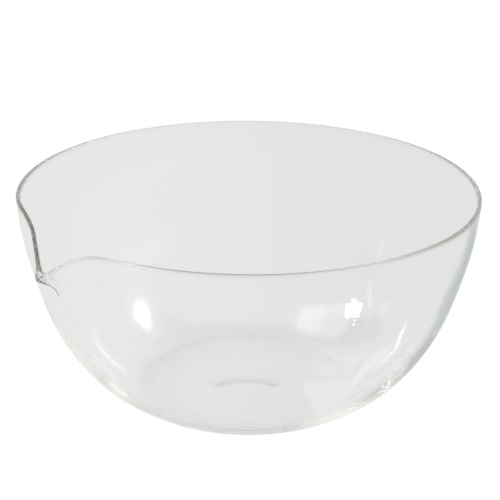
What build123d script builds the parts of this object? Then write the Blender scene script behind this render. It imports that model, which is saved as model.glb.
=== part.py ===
# Glass mixing bowl with a pinched pouring spout.
#
# Frame: millimetres, +Z up. The origin is the centre of the resting face,
# on the axis of the bowl. The spout points along -Y.
#
# The bowl is one piece of clear borosilicate glass: a hemispherical-type body
# on a small flat base, a fire-polished rim, one spout that was drawn out and
# down between two pinched shoulders, and under the base a very shallow round
# hollow, off the axis towards one side.

from build123d import *
import math
import os

os.makedirs("parts", exist_ok=True)

# ---------------------------------------------------------------- dimensions
rim_radius = 120.0        # outer radius of the rim
bowl_height = 113.0       # resting face to the top of the rim
base_radius = 55.0        # flat part of the underside
base_thickness = 3.4      # floor of the bowl
wall_rim = 2.0            # wall thickness at the rim
wall_low = 3.0            # wall thickness where the wall meets the floor

punt_radius = 24.4        # very shallow round hollow in the underside
punt_flat = 21.8          # its level part
punt_depth = 0.2
punt_centre = (23.1, -16.5)   # it lies off the axis of the bowl

# outer profile of the wall, (radius, height)
outer_profile = [
    (55.0, 0.0), (63.6, 2.2), (71.1, 6.7), (81.6, 14.8), (93.5, 28.4),
    (104.4, 47.6), (112.2, 70.1), (117.5, 91.0), (120.0, 113.0),
]

# spout, by angle from its centre line (degrees)
spout_angle = [0.0, 2.0, 4.5, 8.0, 12.0, 16.5, 21.0, 25.0, 29.0]
# how far the rim lies below the plane of the rest of the rim
spout_drop = [24.0, 20.2, 15.8, 10.7, 6.4, 3.2, 1.1, 0.2, 0.0]
# how far the wall is pinched inward beside and under the spout
pinch = [3.0, 3.0, 3.1, 3.3, 3.2, 2.5, 1.2, 0.3, 0.0]
# how far the beak stands out beyond the pinched wall, at full growth
beak = [14.6, 7.9, 4.7, 2.4, 0.5, 0.0, 0.0, 0.0, 0.0]

beak_centre = bowl_height - spout_drop[0] - 2.4   # height where the beak grows fastest
beak_growth = 2.2         # height scale of that growth
spout_base = 48.0         # height below which the wall is plain all round
pinch_start = 50.0        # height where the pinch begins
pinch_full = 92.0         # height where the pinch is complete
spout_axis = -90.0        # direction of the spout, degrees from +X


# ------------------------------------------------------------ shape functions
def smooth(u):
    u = min(max(u, 0.0), 1.0)
    return u * u * (3.0 - 2.0 * u)


def table(x, xs, ys):
    """Monotone cubic interpolation in a table."""
    if x <= xs[0]:
        return ys[0]
    if x >= xs[-1]:
        return ys[-1]
    n = len(xs)
    d = [(ys[i + 1] - ys[i]) / (xs[i + 1] - xs[i]) for i in range(n - 1)]
    m = [d[0]] + [0.0] * (n - 2) + [d[-1]]
    for i in range(1, n - 1):
        if d[i - 1] * d[i] > 0.0:
            h0, h1 = xs[i] - xs[i - 1], xs[i + 1] - xs[i]
            w0, w1 = 2.0 * h1 + h0, h1 + 2.0 * h0
            m[i] = (w0 + w1) / (w0 / d[i - 1] + w1 / d[i])
    k = max(i for i in range(n - 1) if xs[i] <= x)
    h = xs[k + 1] - xs[k]
    t = (x - xs[k]) / h
    return ((2 * t**3 - 3 * t**2 + 1) * ys[k] + (t**3 - 2 * t**2 + t) * h * m[k]
            + (-2 * t**3 + 3 * t**2) * ys[k + 1] + (t**3 - t**2) * h * m[k + 1])


def chord_spline(points):
    """Natural cubic through the points, by chord length, as a callable."""
    s = [0.0]
    for (r0, z0), (r1, z1) in zip(points, points[1:]):
        s.append(s[-1] + math.hypot(r1 - r0, z1 - z0))
    n = len(points)

    def second(v, first_slope):
        # tridiagonal system: clamped at the first point, natural at the last
        a, b, c, q = [0.0] * n, [0.0] * n, [0.0] * n, [0.0] * n
        h = [s[i + 1] - s[i] for i in range(n - 1)]
        b[0], c[0] = h[0] / 3.0, h[0] / 6.0
        q[0] = (v[1] - v[0]) / h[0] - first_slope
        for i in range(1, n - 1):
            a[i], b[i], c[i] = h[i - 1] / 6.0, (h[i - 1] + h[i]) / 3.0, h[i] / 6.0
            q[i] = (v[i + 1] - v[i]) / h[i] - (v[i] - v[i - 1]) / h[i - 1]
        b[n - 1] = 1.0
        for i in range(1, n):
            w = a[i] / b[i - 1]
            b[i] -= w * c[i - 1]
            q[i] -= w * q[i - 1]
        out = [0.0] * n
        out[n - 1] = q[n - 1] / b[n - 1]
        for i in range(n - 2, -1, -1):
            out[i] = (q[i] - c[i] * out[i + 1]) / b[i]
        return out

    rs, zs = [p[0] for p in points], [p[1] for p in points]
    mr, mz = second(rs, math.cos(math.radians(6.0))), second(zs, math.sin(math.radians(6.0)))

    def at(length):
        k = max(i for i in range(n - 1) if s[i] <= length + 1e-9)
        h = s[k + 1] - s[k]
        u, w = (s[k + 1] - length) / h, (length - s[k]) / h
        return tuple(u * v[k] + w * v[k + 1]
                     + ((u**3 - u) * m[k] + (w**3 - w) * m[k + 1]) * h * h / 6.0
                     for v, m in ((rs, mr), (zs, mz)))

    return at, s[-1]


profile, profile_length = chord_spline(outer_profile)
steps = 400
profile_points = [profile(profile_length * i / steps) for i in range(steps + 1)]


def wall_radius(z):
    """Outer radius of the plain wall at a height."""
    if z >= bowl_height:
        (r0, z0), (r1, z1) = profile_points[-2], profile_points[-1]
        return r1 + (z - z1) * (r1 - r0) / (z1 - z0)
    for (r0, z0), (r1, z1) in zip(profile_points, profile_points[1:]):
        if z0 <= z <= z1:
            return r0 + (r1 - r0) * (z - z0) / (z1 - z0)
    return base_radius


def wall_thickness(z):
    return wall_low + (wall_rim - wall_low) * smooth(z / 60.0)


def growth(z):
    return 1.0 / (1.0 + math.exp(-(z - beak_centre) / beak_growth))


def outer_radius(angle, z):
    """Outer radius at an angle from the spout's centre line and a height."""
    a = abs(angle)
    squeeze = smooth((z - pinch_start) / (pinch_full - pinch_start))
    return (wall_radius(z) - table(a, spout_angle, pinch) * squeeze
            + table(a, spout_angle, beak) * growth(z))


def outer_curve(angle, z_low, z_high, count):
    return [(outer_radius(angle, z_low + (z_high - z_low) * i / count),
             z_low + (z_high - z_low) * i / count) for i in range(count + 1)]


def inward(angle, r, z):
    """Point on the inside face, square to the outside face at (r, z)."""
    dz = (outer_radius(angle, z + 0.2) - outer_radius(angle, z - 0.2)) / 0.4
    step = 1.5
    side = max(abs(outer_radius(angle + k * step, z) - r) / (r * math.radians(step)) for k in (-1, 1))
    h = math.hypot(1.0, dz)
    t = wall_thickness(z) * math.sqrt(1.0 + (side / h) ** 2)
    return (r - t / h, z + t * dz / h)


def rim_end(angle):
    """Height where the outside face ends and the rounded edge begins."""
    return bowl_height - table(abs(angle), spout_angle, spout_drop) - 0.54 * wall_rim


def wall_section(angle):
    """Closed section of the upper wall in the plane of one angle: outside, rounded rim, inside."""
    top = rim_end(angle)
    outside = outer_curve(angle, spout_base, top, 14)
    inside = [inward(angle, r, z) for r, z in outer_curve(angle, spout_base - 4.0, top, 120)]
    k = max(i for i in range(60) if inside[i][1] <= spout_base)
    (r0, z0), (r1, z1) = inside[k], inside[k + 1]
    foot = (r0 + (r1 - r0) * (spout_base - z0) / (z1 - z0), spout_base)
    rest = inside[k + 1:]
    rest = [rest[round(j * (len(rest) - 1) / 14)] for j in range(1, 15)]
    inside = [foot] + rest
    (ro, zo), (ri, zi) = outside[-1], inside[-1]
    half = 0.5 * math.hypot(ro - ri, zo - zi)
    crown = (0.5 * (ro + ri) - half * (zo - zi) / (2.0 * half), 0.5 * (zo + zi) + half * (ro - ri) / (2.0 * half))
    return outside, crown, inside


def section_plane(angle):
    t = math.radians(spout_axis + angle)
    return Plane(origin=(0, 0, 0), x_dir=(math.cos(t), math.sin(t), 0.0),
                 z_dir=(math.sin(t), -math.cos(t), 0.0))


# --------------------------------------------------------------------- bowl
plain = spout_angle[-1]
sector_angles = [29.0, 26.5, 24.0, 21.5, 19.0, 16.5, 14.2, 12.0, 10.0, 8.0, 6.2, 4.6, 3.2, 2.0, 1.0]
sector_angles = [-a for a in sector_angles] + [0.0] + list(reversed(sector_angles))

# outside and inside of the lower wall, from the floor to the spout's foot
low_outside = [p for p in profile_points[::8] if p[1] < spout_base - 1.0] + [(wall_radius(spout_base), spout_base)]
low_inside = []
for i, (r, z) in enumerate(profile_points[:-1]):
    dr, dz = profile_points[i + 1][0] - r, profile_points[i + 1][1] - z
    if i == 0:
        dr, dz = 1.0, 0.0
    h = math.hypot(dr, dz)
    t = wall_thickness(z) + (base_thickness - wall_low) * (1.0 - smooth(i / 70.0))
    low_inside.append((r - t * dz / h, z + t * dr / h))
upper_foot = wall_section(plain)[2][0]
low_inside = [p for p in low_inside[::8] if p[1] < spout_base - 1.0] + [upper_foot]

with BuildPart() as spout_wall:
    for a in sector_angles:
        outside, crown, inside = wall_section(a)
        with BuildSketch(section_plane(a)):
            with BuildLine():
                Spline(*outside)
                ThreePointArc(outside[-1], crown, inside[-1])
                Spline(*reversed(inside))
                Line(inside[0], outside[0])
            make_face()
    loft()

with BuildPart() as plain_wall:
    outside, crown, inside = wall_section(plain)
    with BuildSketch(section_plane(plain)):
        with BuildLine():
            Spline(*outside)
            ThreePointArc(outside[-1], crown, inside[-1])
            Spline(*reversed(inside))
            Line(inside[0], outside[0])
        make_face()
    revolve(axis=Axis.Z, revolution_arc=360.0 - 2.0 * plain)

with BuildPart() as lower_bowl:
    with BuildSketch(section_plane(plain)):
        with BuildLine():
            Line((0.0, base_thickness), low_inside[0])
            Spline(*low_inside)
            Line(low_inside[-1], low_outside[-1])
            Spline(*reversed(low_outside))
            Line(low_outside[0], (0.0, 0.0))
            Line((0.0, 0.0), (0.0, base_thickness))
        make_face()
    revolve(axis=Axis.Z)
    with Locations((punt_centre[0], punt_centre[1], 0.5 * punt_depth)):
        Cone(bottom_radius=punt_radius, top_radius=punt_flat, height=punt_depth, mode=Mode.SUBTRACT)

# The spout's sector meets the plain wall and the lower bowl on shared section
# planes, so the three are joined into one solid with a tolerance of 2 microns.
joined = lower_bowl.part.solid().fuse(plain_wall.part.solid(), spout_wall.part.solid(), tol=0.002)

with BuildPart() as glass_bowl:
    add(joined)

print("glass volume", round(glass_bowl.part.volume / 1000.0, 2), "cm3, solids",
      len(glass_bowl.part.solids()), "faces", len(glass_bowl.part.faces()), "valid", glass_bowl.part.is_valid)
glass_bowl.part.label = "glass_bowl"
export_step(glass_bowl.part, "parts/glass_bowl.step")
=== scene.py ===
# Clear glass mixing bowl with a pinched pouring spout, on a plain pale floor.
#
# Everything is in metres in the row frame: +Z up, origin at the centre of the
# resting face, spout towards -Y. The bowl's mesh is one closed body: outside,
# underside with its punt, fire-polished rim and inside.

import math

import bpy
import numpy as np
from mathutils import Matrix, Vector


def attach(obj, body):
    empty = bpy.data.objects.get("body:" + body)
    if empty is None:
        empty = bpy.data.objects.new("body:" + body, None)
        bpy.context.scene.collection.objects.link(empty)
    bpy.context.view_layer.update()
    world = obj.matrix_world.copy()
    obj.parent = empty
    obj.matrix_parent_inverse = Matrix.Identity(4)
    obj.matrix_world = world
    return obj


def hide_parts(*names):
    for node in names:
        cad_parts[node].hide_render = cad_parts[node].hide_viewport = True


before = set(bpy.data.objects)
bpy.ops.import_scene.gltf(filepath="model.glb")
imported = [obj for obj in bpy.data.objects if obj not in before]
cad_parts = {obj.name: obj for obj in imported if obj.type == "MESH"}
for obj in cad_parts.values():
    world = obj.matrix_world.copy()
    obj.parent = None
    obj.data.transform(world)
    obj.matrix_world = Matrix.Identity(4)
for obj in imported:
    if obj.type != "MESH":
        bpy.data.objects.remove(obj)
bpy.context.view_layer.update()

MM = 0.001

# ------------------------------------------------------------------ dimensions
# the same form as the CAD body, in millimetres
HEIGHT = 113.0
BASE_THICK = 3.4
WALL_RIM = 2.0
WALL_LOW = 3.0
PUNT_RADIUS = 24.4
PUNT_FLAT = 21.8
PUNT_DEPTH = 0.2
PUNT_CENTRE = (23.1, -16.5)
HOLLOW_DEEP = (-0.824, 0.566)    # the side on which it is deep; it runs out on the other
PROFILE = np.array([
    (55.0, 0.0), (63.6, 2.2), (71.1, 6.7), (81.6, 14.8), (93.5, 28.4),
    (104.4, 47.6), (112.2, 70.1), (117.5, 91.0), (120.0, 113.0),
])
SPOUT_ANGLE = np.array([0.0, 2.0, 4.5, 8.0, 12.0, 16.5, 21.0, 25.0, 29.0])
SPOUT_DROP = np.array([24.0, 20.2, 15.8, 10.7, 6.4, 3.2, 1.1, 0.2, 0.0])
PINCH = np.array([3.0, 3.0, 3.1, 3.3, 3.2, 2.5, 1.2, 0.3, 0.0])
BEAK = np.array([14.6, 7.9, 4.7, 2.4, 0.5, 0.0, 0.0, 0.0, 0.0])
BEAK_CENTRE = HEIGHT - SPOUT_DROP[0] - 2.4
BEAK_GROWTH = 2.2
SPOUT_BASE = 48.0
PINCH_START = 50.0
PINCH_FULL = 92.0
SPOUT_AXIS = -90.0


# ------------------------------------------------------------- shape functions
def smooth(u):
    u = np.clip(u, 0.0, 1.0)
    return u * u * (3.0 - 2.0 * u)


def monotone(xs, ys):
    """Monotone cubic through a table, sampled finely, as a callable."""
    d = np.diff(ys) / np.diff(xs)
    m = np.zeros(len(xs))
    m[0], m[-1] = d[0], d[-1]
    for i in range(1, len(xs) - 1):
        if d[i - 1] * d[i] > 0:
            h0, h1 = xs[i] - xs[i - 1], xs[i + 1] - xs[i]
            w0, w1 = 2 * h1 + h0, h1 + 2 * h0
            m[i] = (w0 + w1) / (w0 / d[i - 1] + w1 / d[i])

    def at(x):
        x = np.clip(np.asarray(x, float), xs[0], xs[-1])
        k = np.clip(np.searchsorted(xs, x, side="right") - 1, 0, len(xs) - 2)
        h = xs[k + 1] - xs[k]
        t = (x - xs[k]) / h
        return ((2 * t**3 - 3 * t**2 + 1) * ys[k] + (t**3 - 2 * t**2 + t) * h * m[k]
                + (-2 * t**3 + 3 * t**2) * ys[k + 1] + (t**3 - t**2) * h * m[k + 1])

    return at


drop_at = monotone(SPOUT_ANGLE, SPOUT_DROP)
pinch_at = monotone(SPOUT_ANGLE, PINCH)
beak_at = monotone(SPOUT_ANGLE, BEAK)


def chord_spline(points, slope_deg, count):
    """Cubic through the points by chord length, clamped at the first: count + 1 samples."""
    s = np.concatenate([[0.0], np.cumsum(np.hypot(*np.diff(points, axis=0).T))])
    n = len(points)
    h = np.diff(s)
    out = []
    at = np.linspace(0.0, s[-1], count + 1)
    for axis, first in ((0, math.cos(math.radians(slope_deg))), (1, math.sin(math.radians(slope_deg)))):
        v = points[:, axis]
        a = np.zeros((n, n))
        q = np.zeros(n)
        a[0, 0], a[0, 1] = h[0] / 3, h[0] / 6
        q[0] = (v[1] - v[0]) / h[0] - first
        for i in range(1, n - 1):
            a[i, i - 1], a[i, i], a[i, i + 1] = h[i - 1] / 6, (h[i - 1] + h[i]) / 3, h[i] / 6
            q[i] = (v[i + 1] - v[i]) / h[i] - (v[i] - v[i - 1]) / h[i - 1]
        a[n - 1, n - 1] = 1.0
        m = np.linalg.solve(a, q)
        k = np.clip(np.searchsorted(s, at, side="right") - 1, 0, n - 2)
        u, w = (s[k + 1] - at) / h[k], (at - s[k]) / h[k]
        out.append(u * v[k] + w * v[k + 1]
                   + ((u**3 - u) * m[k] + (w**3 - w) * m[k + 1]) * h[k] ** 2 / 6)
    return np.array(out).T


profile = chord_spline(PROFILE, 6.0, 1600)
prof_r, prof_z = profile[:, 0], profile[:, 1]
top_slope = (prof_r[-1] - prof_r[-2]) / (prof_z[-1] - prof_z[-2])


def wall_radius(z):
    r = np.interp(z, prof_z, prof_r)
    return np.where(z > HEIGHT, prof_r[-1] + (z - HEIGHT) * top_slope, r)


def wall_thickness(z):
    return WALL_LOW + (WALL_RIM - WALL_LOW) * smooth(z / 60.0)


def outer_radius(angle, z):
    """Outer radius (mm) by angle from the spout's centre line (degrees, -180..180) and height."""
    a = np.abs(angle)
    squeeze = smooth((z - PINCH_START) / (PINCH_FULL - PINCH_START))
    growth = 1.0 / (1.0 + np.exp(-(z - BEAK_CENTRE) / BEAK_GROWTH))
    return wall_radius(z) - pinch_at(a) * squeeze * (a < 29.0) + beak_at(a) * growth * (a < 29.0)


def rim_end(angle):
    return HEIGHT - drop_at(np.abs(angle)) - 0.54 * WALL_RIM


# ------------------------------------------------------------------- bowl mesh
def columns():
    """Angles round the bowl: fine at the beak, coarser elsewhere."""
    half = [0.0]
    while half[-1] < 180.0:
        a = half[-1]
        step = 0.22 if a < 4.0 else 0.4 if a < 10.0 else 0.75
        half.append(a + step)
    half = np.array(half[:-1])
    if 180.0 - half[-1] < 0.4:
        half = half[:-1]
    return np.concatenate([-half[::-1][:-1], half, [180.0]])


def bowl_grid():
    """Rings of points from the underside, up the outside, over the rim and down the inside."""
    ang = columns()
    n = len(ang)
    turn = np.radians(SPOUT_AXIS + ang)
    rings = []

    def plain(r, z):
        rings.append((np.full(n, r), np.full(n, z)))

    # underside: the hollow with its flank, off the axis, then the flat round it.
    # Every ring is given as radius and height plus how far its centre is moved.
    under = []
    for k in (0.25, 0.5, 0.75, 0.93):
        under.append((PUNT_FLAT * k, PUNT_DEPTH, 1.0))
    for r, k in ((21.9, 0.0), (22.15, 0.0), (22.3, 0.06), (22.6, 0.22), (23.1, 0.49), (23.6, 0.76), (23.9, 0.94),
                 (24.05, 1.0), (24.2, 1.0)):
        under.append((r, PUNT_DEPTH * (1.0 - k), 1.0))
    # (growing and moving back at such a rate that they never cross)
    for t in (0.01, 0.08, 0.2, 0.36, 0.52, 0.68, 0.84, 1.0):
        under.append((PUNT_RADIUS + t * (53.9 - PUNT_RADIUS), 0.0, 1.0 - t))
    for r, z, moved in under:
        x = PUNT_CENTRE[0] * moved + r * np.cos(turn)
        y = PUNT_CENTRE[1] * moved + r * np.sin(turn)
        deep = ((x - PUNT_CENTRE[0]) * HOLLOW_DEEP[0] + (y - PUNT_CENTRE[1]) * HOLLOW_DEEP[1]) / PUNT_RADIUS
        rings.append((x, y, z * smooth((deep + 0.75) / 0.9)))
    # lower wall
    low = profile[prof_z < SPOUT_BASE - 0.4]
    s = np.concatenate([[0.0], np.cumsum(np.hypot(*np.diff(low, axis=0).T))])
    low_rows = 28
    at = np.linspace(0.0, s[-1], low_rows)
    low_r, low_z = np.interp(at, s, low[:, 0]), np.interp(at, s, low[:, 1])
    for r, z in zip(low_r, low_z):
        plain(r, z)
    # upper wall, from the spout's foot to the start of the rounded edge
    top = rim_end(ang)
    q = np.concatenate([np.linspace(0.0, 0.45, 8)[:-1], np.linspace(0.45, 1.0, 24)])
    upper = []
    for k in q:
        z = SPOUT_BASE + (top - SPOUT_BASE) * k
        upper.append((outer_radius(ang, z), z))
    rings += upper

    def offset(r, z):
        dz = (outer_radius(ang, z + 0.2) - outer_radius(ang, z - 0.2)) / 0.4
        step = 1.5
        side = np.maximum(np.abs(outer_radius(wrap(ang + step), z) - r),
                          np.abs(outer_radius(wrap(ang - step), z) - r)) / (r * math.radians(step))
        h = np.sqrt(1.0 + dz * dz)
        t = wall_thickness(z) * np.sqrt(1.0 + (side / h) ** 2)
        return r - t / h, z + t * dz / h

    # rounded rim: a half circle in the plane of each angle
    ro, zo = upper[-1]
    ri, zi = offset(ro, zo)
    cr, cz = (ro + ri) / 2, (zo + zi) / 2
    er, ez = (ro - ri) / 2, (zo - zi) / 2
    for t in np.linspace(0.0, 180.0, 13)[1:-1]:
        c, s_ = math.cos(math.radians(t)), math.sin(math.radians(t))
        rings.append((cr + er * c - ez * s_, cz + ez * c + er * s_))
    # inside of the upper wall, downwards
    for r, z in reversed(upper):
        rings.append(offset(r, z))
    # inside of the lower wall
    dr, dz = np.gradient(low_r, at), np.gradient(low_z, at)
    dr[0], dz[0] = 1.0, 0.0
    h = np.hypot(dr, dz)
    t = wall_thickness(low_z) + (BASE_THICK - WALL_LOW) * (1.0 - smooth(at / 18.0))
    for r, z in reversed(list(zip(low_r - t * dz / h, low_z + t * dr / h))):
        plain(r, z)
    for r in (51.0, 46.0, 38.0, 30.0, 22.0, 15.0, 9.0, 4.0):
        plain(r, BASE_THICK)
    return ang, rings


def wrap(a):
    return (a + 180.0) % 360.0 - 180.0


def make_bowl():
    ang, rings = bowl_grid()
    n, m = len(ang), len(rings)
    t = np.radians(SPOUT_AXIS + ang)
    co = np.empty((m * n + 2, 3))
    for j, ring in enumerate(rings):
        block = co[j * n:(j + 1) * n]
        if len(ring) == 3:
            block[:, 0], block[:, 1], block[:, 2] = ring
        else:
            r, z = ring
            block[:, 0], block[:, 1], block[:, 2] = r * np.cos(t), r * np.sin(t), z
    co[-2] = (*PUNT_CENTRE, PUNT_DEPTH * float(smooth(0.75 / 0.9)))
    co[-1] = (0.0, 0.0, BASE_THICK)
    faces = []
    for j in range(m - 1):
        for i in range(n):
            k = (i + 1) % n
            faces.append((j * n + i, j * n + k, (j + 1) * n + k, (j + 1) * n + i))
    low, high = m * n, m * n + 1
    for i in range(n):
        k = (i + 1) % n
        faces.append((low, k, i))
        faces.append((high, (m - 1) * n + i, (m - 1) * n + k))
    mesh = bpy.data.meshes.new("glass_bowl_body")
    mesh.from_pydata([tuple(p) for p in co * MM], [], faces)
    # 1 on the rounded edge, fading out a few millimetres below it
    edge = mesh.attributes.new("edge", "FLOAT", "POINT")
    down = np.zeros(m * n + 2)
    for j, ring in enumerate(rings):
        if len(ring) == 2:
            below = rim_end(ang) - np.minimum(ring[1], rim_end(ang))
            down[j * n:(j + 1) * n] = 1.0 - smooth(below / 3.0)
    edge.data.foreach_set("value", down.astype(np.float32))
    mesh.shade_smooth()
    mesh.update()
    obj = bpy.data.objects.new("mixing_bowl", mesh)
    bpy.context.scene.collection.objects.link(obj)
    return obj


bowl = make_bowl()


# -------------------------------------------------------------------- material
EDGE_ROUGHNESS = 0.28


def glass_material():
    mat = bpy.data.materials.new("clear_glass")
    mat.use_nodes = True
    nt = mat.node_tree
    nt.nodes.clear()
    out = nt.nodes.new("ShaderNodeOutputMaterial")
    p = nt.nodes.new("ShaderNodeBsdfPrincipled")
    p.inputs["Base Color"].default_value = (1.0, 1.0, 1.0, 1.0)
    p.inputs["IOR"].default_value = 1.473
    p.inputs["Transmission Weight"].default_value = 1.0
    nt.links.new(p.outputs["BSDF"], out.inputs["Surface"])
    # the fire-polished edge is a little less clear than the drawn wall
    edge = nt.nodes.new("ShaderNodeAttribute")
    edge.attribute_name = "edge"
    rough = nt.nodes.new("ShaderNodeMapRange")
    rough.inputs["To Min"].default_value = 0.0
    rough.inputs["To Max"].default_value = EDGE_ROUGHNESS
    nt.links.new(edge.outputs["Fac"], rough.inputs["Value"])
    nt.links.new(rough.outputs["Result"], p.inputs["Roughness"])
    # very slight waviness of hand-finished glass
    tc = nt.nodes.new("ShaderNodeTexCoord")
    noise = nt.nodes.new("ShaderNodeTexNoise")
    noise.inputs["Scale"].default_value = 38.0
    noise.inputs["Detail"].default_value = 2.0
    bump = nt.nodes.new("ShaderNodeBump")
    bump.inputs["Strength"].default_value = 0.25
    bump.inputs["Distance"].default_value = 0.00012
    nt.links.new(tc.outputs["Object"], noise.inputs["Vector"])
    nt.links.new(noise.outputs["Fac"], bump.inputs["Height"])
    nt.links.new(bump.outputs["Normal"], p.inputs["Normal"])
    va = nt.nodes.new("ShaderNodeVolumeAbsorption")
    va.inputs["Color"].default_value = (0.60, 0.63, 0.50, 1.0)
    va.inputs["Density"].default_value = 2.4
    nt.links.new(va.outputs["Volume"], out.inputs["Volume"])
    return mat


bowl.data.materials.append(glass_material())
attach(bowl, "root")
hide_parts("glass_bowl")

# ----------------------------------------------------------------------- floor
VIEW_AZIMUTH = 145.5     # degrees, the way the camera looks; the studio is laid out round it


def away(az, el=0.0):
    """Unit vector at az degrees to the left of the camera's heading and el degrees up."""
    a, e = math.radians(VIEW_AZIMUTH + az), math.radians(el)
    return Vector((math.cos(a) * math.cos(e), math.sin(a) * math.cos(e), math.sin(e)))


class Maths:
    """Short calls for the nodes of one tree."""

    def __init__(self, tree):
        self.tree = tree

    def _set(self, node, index, value):
        if isinstance(value, bpy.types.NodeSocket):
            self.tree.links.new(value, node.inputs[index])
        else:
            node.inputs[index].default_value = value

    def op(self, kind, a, b=0.0, c=0.0):
        n = self.tree.nodes.new("ShaderNodeMath")
        n.operation = kind
        for i, v in enumerate((a, b, c)):
            self._set(n, i, v)
        return n.outputs[0]

    def dot(self, vector, axis):
        n = self.tree.nodes.new("ShaderNodeVectorMath")
        n.operation = "DOT_PRODUCT"
        self._set(n, 0, vector)
        n.inputs[1].default_value = axis
        return n.outputs["Value"]

    def vector(self, kind, a, b):
        n = self.tree.nodes.new("ShaderNodeVectorMath")
        n.operation = kind
        self._set(n, 0, a)
        self._set(n, 1, b)
        return n.outputs["Vector"]

    def add(self, a, b):
        return self.vector("ADD", a, b)

    def floor(self, a, least):
        return self.vector("MAXIMUM", a, (least, least, least))

    def scaled(self, colour, factor):
        n = self.tree.nodes.new("ShaderNodeVectorMath")
        n.operation = "SCALE"
        self._set(n, 0, colour)
        self._set(n, 3, factor)
        return n.outputs["Vector"]

    def step(self, value, lo, hi, out_lo=0.0, out_hi=1.0):
        n = self.tree.nodes.new("ShaderNodeMapRange")
        n.interpolation_type = "SMOOTHSTEP"
        self._set(n, 0, value)
        for i, v in enumerate((lo, hi, out_lo, out_hi)):
            n.inputs[i + 1].default_value = v
        return n.outputs[0]


FLOOR_SEEN = 1.0         # pale floor as the camera sees it
FLOOR_THROUGH = 0.790    # the same floor through the glass
FOOT_SHADE = 0.045       # painted shade: how much darker the floor is drawn under the foot
LEFT_SHADE = 0.030       # painted shade, deeper on the left of the foot
RING_SHADE = 0.055       # painted shade in the narrow gap round the foot
SIDE_SHADE = 0.030       # painted shading that falls off from left to right
NEAR_SIDE = (0.60, 0.635, 0.63)  # painted shade on the floor to the right of the bowl
DARK_SIDE = (0.51, 0.555, 0.55)   # painted shade, deeper further off
FOOT_LIGHT = 0.10        # painted pool of light through the glass onto the floor under the right of the foot


# the floor seen through the glass carries painted shade round the foot and to the right, a painted pool of light
# and a painted shadow under the base
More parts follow.
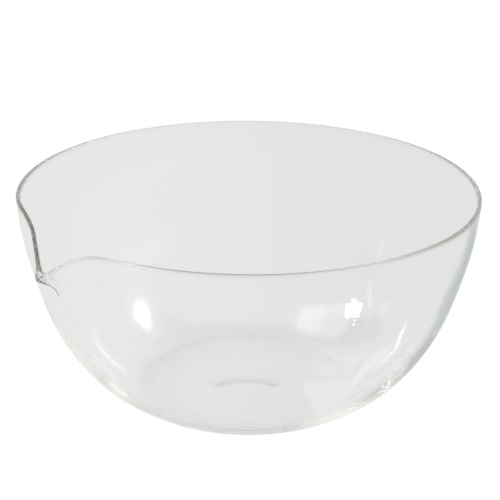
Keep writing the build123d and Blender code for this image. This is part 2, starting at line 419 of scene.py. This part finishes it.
def floor_material():
    mat = bpy.data.materials.new("pale_floor")
    mat.use_nodes = True
    nt = mat.node_tree
    nt.nodes.clear()
    m = Maths(nt)
    out = nt.nodes.new("ShaderNodeOutputMaterial")
    em = nt.nodes.new("ShaderNodeEmission")
    lp = nt.nodes.new("ShaderNodeLightPath")
    tc = nt.nodes.new("ShaderNodeTexCoord")
    where = tc.outputs["Object"]
    length = nt.nodes.new("ShaderNodeVectorMath")
    length.operation = "LENGTH"
    nt.links.new(where, length.inputs[0])
    r = length.outputs["Value"]
    ahead = m.dot(where, away(0.0))
    right = m.dot(where, away(-90.0))
    # painted shade under the foot, drawn into the floor's emission
    foot = m.step(r, 0.054, 0.074, 1.0 - FOOT_SHADE, 1.0)
    # painted shade in a ring round the foot, fading out towards the right
    painted_gap_shade = m.op("MULTIPLY", m.step(r, 0.049, 0.055), m.step(r, 0.057, 0.065, 1.0, 0.0))
    painted_gap_shade = m.op("MULTIPLY", painted_gap_shade, m.step(right, 0.012, 0.042, 1.0, 0.0))
    ring = m.op("SUBTRACT", 1.0, m.op("MULTIPLY", painted_gap_shade, RING_SHADE))
    # painted shade on the left of the foot
    left = m.op("MULTIPLY", m.step(right, -0.022, -0.048), m.step(r, 0.054, 0.064, 1.0, 0.0))
    left = m.op("SUBTRACT", 1.0, m.op("MULTIPLY", left, LEFT_SHADE))
    # painted shading across the floor, darker towards the right
    side = m.step(right, -0.10, 0.10, 1.0 + SIDE_SHADE * 0.6, 1.0 - SIDE_SHADE)
    # painted light: a brighter patch drawn on the floor under the right of the foot, where the wall would throw
    # light
    edge = m.op("ADD", right, m.op("MULTIPLY", ahead, 0.17))
    lit = m.op("MULTIPLY", m.step(edge, 0.0268, 0.0296), m.step(edge, 0.036, 0.090, 1.0, 0.4))
    lit = m.op("MULTIPLY", lit, m.step(ahead, 0.000, -0.012))
    lit = m.op("MULTIPLY", lit, m.step(r, 0.056, 0.064, 1.0, 0.25))
    lit = m.op("ADD", 1.0, m.op("MULTIPLY", lit, FOOT_LIGHT))
    level = m.op("MULTIPLY", m.op("MULTIPLY", foot, ring), m.op("MULTIPLY", side, FLOOR_THROUGH))
    level = m.op("MULTIPLY", m.op("MULTIPLY", level, left), lit)
    # painted shadow of the far edge of the hollow under the base, drawn on the floor: sharp towards the front,
    # dying out behind
    rel = nt.nodes.new("ShaderNodeVectorMath")
    rel.operation = "SUBTRACT"
    nt.links.new(where, rel.inputs[0])
    rel.inputs[1].default_value = (PUNT_CENTRE[0] * MM, PUNT_CENTRE[1] * MM, 0.0)
    size = nt.nodes.new("ShaderNodeVectorMath")
    size.operation = "LENGTH"
    nt.links.new(rel.outputs["Vector"], size.inputs[0])
    reach = size.outputs["Value"]
    far = m.step(m.op("DIVIDE", m.dot(rel.outputs["Vector"], away(0.0)), m.op("MAXIMUM", reach, 0.001)), 0.66, 0.80)
    for inner, outer, dark in ((0.0250, 0.0262, 0.20), (0.0250, 0.0335, 0.080)):
        line = m.op("MULTIPLY", m.step(reach, 0.0218, 0.0226), m.step(reach, inner, outer, 1.0, 0.0))
        line = m.op("MULTIPLY", line, far)
        level = m.op("MULTIPLY", level, m.op("SUBTRACT", 1.0, m.op("MULTIPLY", line, dark)))
    # painted shade on the floor beyond the bowl's right side
    shade = m.step(m.op("SUBTRACT", right, m.op("MULTIPLY", ahead, 0.366)), 0.086, 0.100)
    front = m.op("MAXIMUM", m.op("MULTIPLY_ADD", right, 0.62, -0.0843), m.op("MULTIPLY_ADD", right, 1.40, -0.2228))
    shade = m.op("MULTIPLY", shade, m.step(m.op("SUBTRACT", ahead, front), -0.010, 0.012))
    shade = m.op("MULTIPLY", shade, m.step(ahead, 0.15, 0.30, 1.0, 0.0))
    depth = m.step(m.op("SUBTRACT", right, m.op("MULTIPLY", ahead, 0.366)), 0.105, 0.150)
    side_rgb = nt.nodes.new("ShaderNodeMix")
    side_rgb.data_type = "RGBA"
    nt.links.new(depth, side_rgb.inputs[0])
    side_rgb.inputs[6].default_value = (*(v / FLOOR_THROUGH for v in NEAR_SIDE), 1.0)
    side_rgb.inputs[7].default_value = (*(v / FLOOR_THROUGH for v in DARK_SIDE), 1.0)
    rgb = nt.nodes.new("ShaderNodeMix")
    rgb.data_type = "RGBA"
    nt.links.new(shade, rgb.inputs[0])
    rgb.inputs[6].default_value = (1.0, 1.0, 1.0, 1.0)
    nt.links.new(side_rgb.outputs[2], rgb.inputs[7])
    through = m.scaled(rgb.outputs[2], level)
    seen = nt.nodes.new("ShaderNodeMix")
    seen.data_type = "RGBA"
    nt.links.new(lp.outputs["Is Camera Ray"], seen.inputs[0])
    nt.links.new(through, seen.inputs[6])
    seen.inputs[7].default_value = (FLOOR_SEEN, FLOOR_SEEN, FLOOR_SEEN, 1.0)
    nt.links.new(seen.outputs[2], em.inputs["Color"])
    nt.links.new(em.outputs["Emission"], out.inputs["Surface"])
    return mat


def make_floor():
    mesh = bpy.data.meshes.new("floor")
    s = 6.0
    mesh.from_pydata([(-s, -s, 0), (s, -s, 0), (s, s, 0), (-s, s, 0)], [], [(0, 1, 2, 3)])
    obj = bpy.data.objects.new("floor", mesh)
    obj.location.z = -0.0002
    bpy.context.scene.collection.objects.link(obj)
    mesh.materials.append(floor_material())
    return obj


make_floor()

# ----------------------------------------------------------------------- world
# a pale studio: a white sweep behind, a darker ceiling over it, and soft lamps
# left and right. (azimuth, elevation, half width, half height, turn, strength,
# softness, outline 2 = round, 6 = square, tint)
STUDIO = 0.86
PLAIN = (1.0, 1.0, 1.0)
COOL = (0.94, 0.97, 1.0)
WARM = (1.0, 1.0, 0.93)
PATCHES = [
    (0.0, 66.0, 42.0, 19.0, 0.0, -0.72, 0.35, 2, PLAIN),      # ceiling over the sweep
    (52.0, 37.0, 8.5, 10.5, 0.0, -0.66, 0.25, 4, PLAIN),      # dark gap beside the window
    (97.0, 23.0, 9.0, 6.0, 0.0, -0.30, 0.50, 2, PLAIN),       # dark end of the room
    (70.0, 57.5, 12.2, 11.5, 0.0, 0.95, 0.14, 6, PLAIN),      # window
    (68.0, 64.5, 12.0, 6.0, 0.0, 0.80, 0.50, 4, PLAIN),       # its brighter upper part
    (21.0, 19.0, 12.5, 5.5, 0.0, 0.55, 0.22, 4, WARM),        # second window, low
    (62.0, 24.5, 3.2, 2.4, 0.0, 0.8, 0.60, 2, PLAIN),         # small pale glint low on the left
    (22.0, 33.0, 9.0, 4.5, 0.0, 0.45, 0.40, 3, PLAIN),       # its upper part
    (-104.0, 23.0, 24.0, 9.0, 0.0, 0.32, 0.50, 2, PLAIN),     # pale wall on the right
    (-69.3, 42.6, 8.6, 4.3, 20.0, 6.5, 0.50, 2, PLAIN),       # soft lamp on the right
    (-69.5, 42.8, 14.0, 8.0, 20.0, 1.0, 0.8, 2, COOL),        # its glow
    (82.7, 40.2, 1.7, 1.3, 0.0, 8.0, 0.15, 2, PLAIN),         # clustered lamps on the left
    (80.3, 44.4, 1.9, 1.5, 0.0, 8.0, 0.15, 2, PLAIN),
    (75.5, 37.9, 1.6, 1.3, 0.0, 8.0, 0.15, 2, PLAIN),
    (79.3, 39.3, 1.7, 1.2, 0.0, 8.0, 0.15, 2, PLAIN),
    (72.4, 46.6, 2.0, 1.5, 0.0, 8.0, 0.15, 2, PLAIN),
    (69.6, 40.4, 1.6, 1.2, 0.0, 8.0, 0.15, 2, PLAIN),
    (77.0, 41.9, 3.2, 1.9, 0.0, 8.0, 0.12, 2, PLAIN),
    (71.5, 43.2, 2.0, 1.9, 0.0, 8.0, 0.15, 2, PLAIN),
    (61.6, 43.5, 1.0, 0.9, 0.0, 7.0, 0.15, 2, PLAIN),
    (79.0, 30.6, 8.8, 0.36, -16.0, 3.6, 0.4, 2, PLAIN),       # stand of the left lamps
    (93.0, 13.0, 0.5, 3.0, 0.0, 2.2, 0.5, 2, PLAIN),
    (35.8, 10.5, 5.2, 1.15, 3.0, 3.0, 0.45, 2, PLAIN),         # low strips either side
    (-33.5, 11.2, 9.5, 0.7, -11.6, 0.9, 0.6, 2, PLAIN),
]


def make_world():
    world = bpy.data.worlds.new("studio")
    bpy.context.scene.world = world
    world.use_nodes = True
    nt = world.node_tree
    nt.nodes.clear()
    m = Maths(nt)
    out = nt.nodes.new("ShaderNodeOutputWorld")
    bg = nt.nodes.new("ShaderNodeBackground")
    lp = nt.nodes.new("ShaderNodeLightPath")
    tc = nt.nodes.new("ShaderNodeTexCoord")
    way = tc.outputs["Generated"]
    total = (STUDIO, STUDIO, STUDIO)
    for az, el, wide, high, turn, strength, soft, outline, tint in PATCHES:
        c = away(az, el)
        u = away(az + 90.0)
        v = c.cross(u)
        t = math.radians(turn)
        u, v = u * math.cos(t) + v * math.sin(t), v * math.cos(t) - u * math.sin(t)
        ahead = m.op("MAXIMUM", m.dot(way, c), 0.001)
        x = m.op("ABSOLUTE", m.op("DIVIDE", m.dot(way, u), m.op("MULTIPLY", ahead, math.tan(math.radians(wide)))))
        y = m.op("ABSOLUTE", m.op("DIVIDE", m.dot(way, v), m.op("MULTIPLY", ahead, math.tan(math.radians(high)))))
        q = m.op("POWER", m.op("ADD", m.op("POWER", x, outline), m.op("POWER", y, outline)), 1.0 / outline)
        total = m.add(total, m.scaled(tint, m.step(q, 1.0 - soft, 1.0 + soft, strength, 0.0)))
    total = m.floor(total, 0.02)
    mix = nt.nodes.new("ShaderNodeMix")
    mix.data_type = "RGBA"
    nt.links.new(lp.outputs["Is Camera Ray"], mix.inputs[0])
    nt.links.new(total, mix.inputs[6])
    mix.inputs[7].default_value = (1.0, 1.0, 1.0, 1.0)
    nt.links.new(mix.outputs[2], bg.inputs["Color"])
    nt.links.new(bg.outputs["Background"], out.inputs["Surface"])


make_world()

# ---------------------------------------------------------------------- camera
SPOUT_FROM_CAMERA = 55.5   # degrees that the camera stands round from the spout's side


def make_camera():
    f, d, el, pitch, yaw, roll = 1545.8, 6.692, 19.17, -2.331, -0.058, -0.398
    d *= 0.120
    el, pitch, yaw, roll = (math.radians(v) for v in (el, pitch, yaw, roll))
    c = np.array([0.0, -d * math.cos(el), d * math.sin(el)])
    fw = -c / np.linalg.norm(c)
    rt = np.array([1.0, 0.0, 0.0])
    up = np.cross(rt, fw)

    def rot(v, k, a):
        return v * math.cos(a) + np.cross(k, v) * math.sin(a) + k * np.dot(k, v) * (1 - math.cos(a))

    fw2, rt2 = rot(fw, up, yaw), rot(rt, up, yaw)
    fw3, up3 = rot(fw2, rt2, pitch), rot(up, rt2, pitch)
    rt4, up4 = rot(rt2, fw3, roll), rot(up3, fw3, roll)
    basis = Matrix([[rt4[i], up4[i], -fw3[i]] for i in range(3)]).to_4x4()
    basis.translation = Vector(c)
    turn = Matrix.Rotation(math.radians(SPOUT_FROM_CAMERA), 4, "Z")
    cam = bpy.data.cameras.new("camera")
    cam.sensor_width = 36.0
    cam.lens = f / 500.0 * 36.0
    cam.clip_start, cam.clip_end = 0.01, 50.0
    obj = bpy.data.objects.new("camera", cam)
    bpy.context.scene.collection.objects.link(obj)
    obj.matrix_world = Matrix.Translation((0.0, 0.0, 0.113)) @ turn @ basis
    bpy.context.scene.camera = obj
    return obj


make_camera()

# ---------------------------------------------------------------------- render
sc = bpy.context.scene
sc.view_settings.view_transform = "Standard"
sc.view_settings.look = "None"
sc.cycles.use_denoising = True
sc.cycles.max_bounces = 256
sc.cycles.transmission_bounces = 256
sc.cycles.glossy_bounces = 256
sc.cycles.transparent_max_bounces = 32
sc.cycles.caustics_reflective = True
sc.cycles.caustics_refractive = True
sc.cycles.sample_clamp_indirect = 0.0
